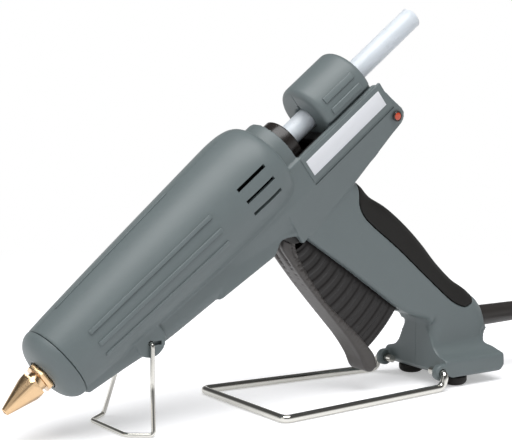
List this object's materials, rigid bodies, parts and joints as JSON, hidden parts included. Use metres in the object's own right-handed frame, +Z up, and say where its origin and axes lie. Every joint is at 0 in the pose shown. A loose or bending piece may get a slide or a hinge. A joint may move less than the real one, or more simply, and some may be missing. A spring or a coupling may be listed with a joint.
{
  "type": "hot glue applicator",
  "caption": "Trigger-fed hot glue gun with a sloping ribbed barrel, rubber-backed grip, sliding feed collar, wire bail and wire stand.",
  "frame": {"origin": "bottom centre of the gun's bounding box on the surface it stands on, cord left out", "axes": "+X runs back from the nozzle to the foot and the cord, +Y is the gun's right as its user holds it, +Z is up"},
  "size_m": [0.4949, 0.1268, 0.2101],
  "materials": {
    "grey_housing": "fine satin grain, moulded",
    "black_rubber": "matte, moulded grain",
    "black_plastic": "satin",
    "dark_grip_plastic": "satin, lightly worn",
    "brass": "turned, bright",
    "steel_wire": "drawn, bright",
    "zinc_steel": "zinc plated",
    "aluminium": "cast, machined faces",
    "glue": "milky, waxy",
    "label_white": "smooth, bare",
    "lamp_red": "clear moulded lens",
    "ceramic": "unglazed",
    "board_green": "coated board",
    "cord_black": "smooth jacket"
  },
  "bodies": {
    "gun": {"housing_left": "grey_housing", "housing_right": "grey_housing", "front_cap": "grey_housing", "rubber_grip": "black_rubber", "rubber_foot_left": "black_rubber", "rubber_foot_right": "black_rubber", "inlet_bush": "black_plastic", "feed_channel": "black_plastic", "plug_body": "black_plastic", "nozzle": "brass", "return_spring": "steel_wire", "nozzle_washer": "zinc_steel", "element_clamp": "zinc_steel", "thermal_fuse": "zinc_steel", "trigger_pin": "zinc_steel", "housing_screw_front": "zinc_steel", "housing_screw_middle": "zinc_steel", "housing_screw_arm": "zinc_steel", "housing_screw_upper": "zinc_steel", "housing_screw_lower": "zinc_steel", "plug_pin_left": "zinc_steel", "plug_pin_right": "zinc_steel", "heater_block": "aluminium", "label_plate_left": "label_white", "label_plate_right": "label_white", "indicator_lamp": "lamp_red", "heating_element": "ceramic", "heater_support_front": "ceramic", "heater_support_rear": "ceramic", "feed_sleeve": "ceramic", "terminal_block": "ceramic", "lamp_board": "board_green", "strain_relief": "cord_black", "mains_cord": "cord_black", "cord_coil": "cord_black"},
    "trigger": {"trigger_lever": "dark_grip_plastic", "trigger_web": "black_plastic", "trigger_fork": "zinc_steel"},
    "carriage": {"feed_carriage": "grey_housing", "gripper_jaw": "zinc_steel", "feed_yoke": "black_plastic"},
    "stick": {"glue_stick": "glue"},
    "bail": {"front_bail": "steel_wire"},
    "stand": {"rear_stand": "steel_wire"}
  },
  "joints": [
    {"name": "trigger_pull", "type": "hinge", "parent": "gun", "child": "trigger", "pos_m": [0.0163, 0, 0.095], "axis": [0, -1, 0], "range_deg": [0, 16.5], "stiffness_Nm_per_rad": 0.6, "springref_deg": -11.46},
    {"name": "carriage_slide", "type": "slide", "parent": "gun", "child": "carriage", "axis": [-0.7997, 0, -0.6004], "range_m": [0, 0.00819]},
    {"name": "stick_feed", "type": "slide", "parent": "gun", "child": "stick", "axis": [-0.7997, 0, -0.6004], "range_m": [0, 0.07]},
    {"name": "bail_fold", "type": "hinge", "parent": "gun", "child": "bail", "pos_m": [-0.0752, 0, 0.0456], "axis": [0, 1, 0], "range_deg": [-118, 0]},
    {"name": "stand_fold", "type": "hinge", "parent": "gun", "child": "stand", "pos_m": [0.1051, 0, 0.0095], "axis": [0, 1, 0], "range_deg": [0, 30]}
  ],
  "couplings": [
    {"joint": "carriage_slide", "follows": "trigger_pull", "m_per_rad": 0.028401}
  ]
}
